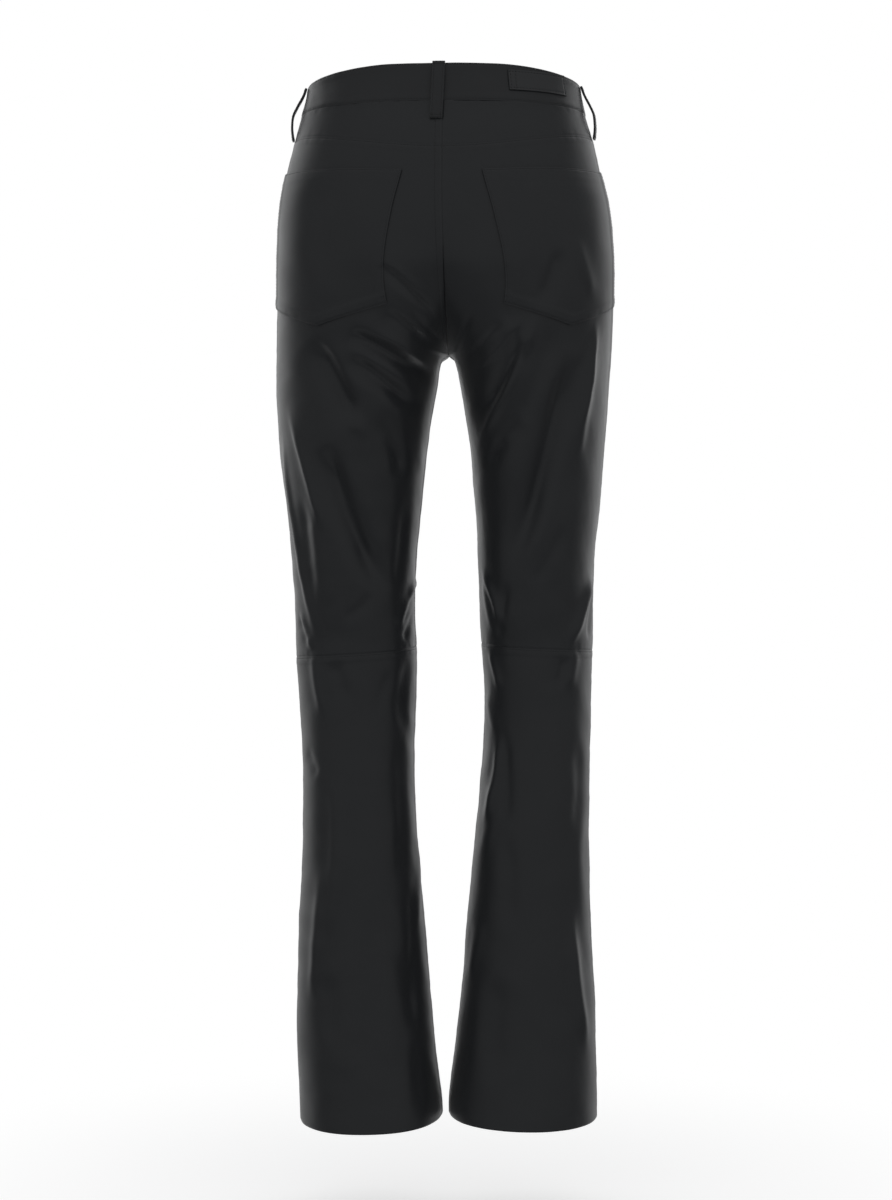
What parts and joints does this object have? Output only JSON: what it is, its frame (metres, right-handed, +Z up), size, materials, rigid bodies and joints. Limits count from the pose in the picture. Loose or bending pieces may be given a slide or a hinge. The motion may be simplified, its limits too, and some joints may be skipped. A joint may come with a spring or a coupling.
{
  "type": "leather straight-leg trousers",
  "caption": "Filled-out hollow leather trousers with the cut of five-pocket jeans: waistband, yoke, patch back pockets, knee seams, slightly flared legs and raw-cut hems.",
  "frame": {"origin": "middle of the waist, level with the waistband's top edge at the sides, where the wearer's waist holds the garment", "axes": "+Z up the garment, the front faces -Y, the wearer's left is +X"},
  "size_m": [0.343, 0.2299, 1.0602],
  "materials": {
    "leather": "satin near-black smooth leather with a fine grain",
    "leather_trim": "satin near-black smooth leather, doubled",
    "leather_patch": "satin near-black smooth leather, bare",
    "button": "dark burnished metal"
  },
  "bodies": {
    "root": {"waistband": "leather_trim", "waistband_patch": "leather_patch", "yoke_left": "leather", "yoke_right": "leather", "back_left": "leather", "back_right": "leather", "front_left": "leather", "front_right": "leather", "lower_back_left": "leather", "lower_back_right": "leather", "lower_front_left": "leather", "lower_front_right": "leather", "back_pocket_left": "leather", "back_pocket_right": "leather", "pocket_facing_left": "leather", "pocket_facing_right": "leather", "fly": "leather", "belt_loop_back": "leather_trim", "belt_loop_side_left": "leather_trim", "belt_loop_side_right": "leather_trim", "belt_loop_front_left": "leather_trim", "belt_loop_front_right": "leather_trim", "waist_button": "button"}
  },
  "joints": []
}
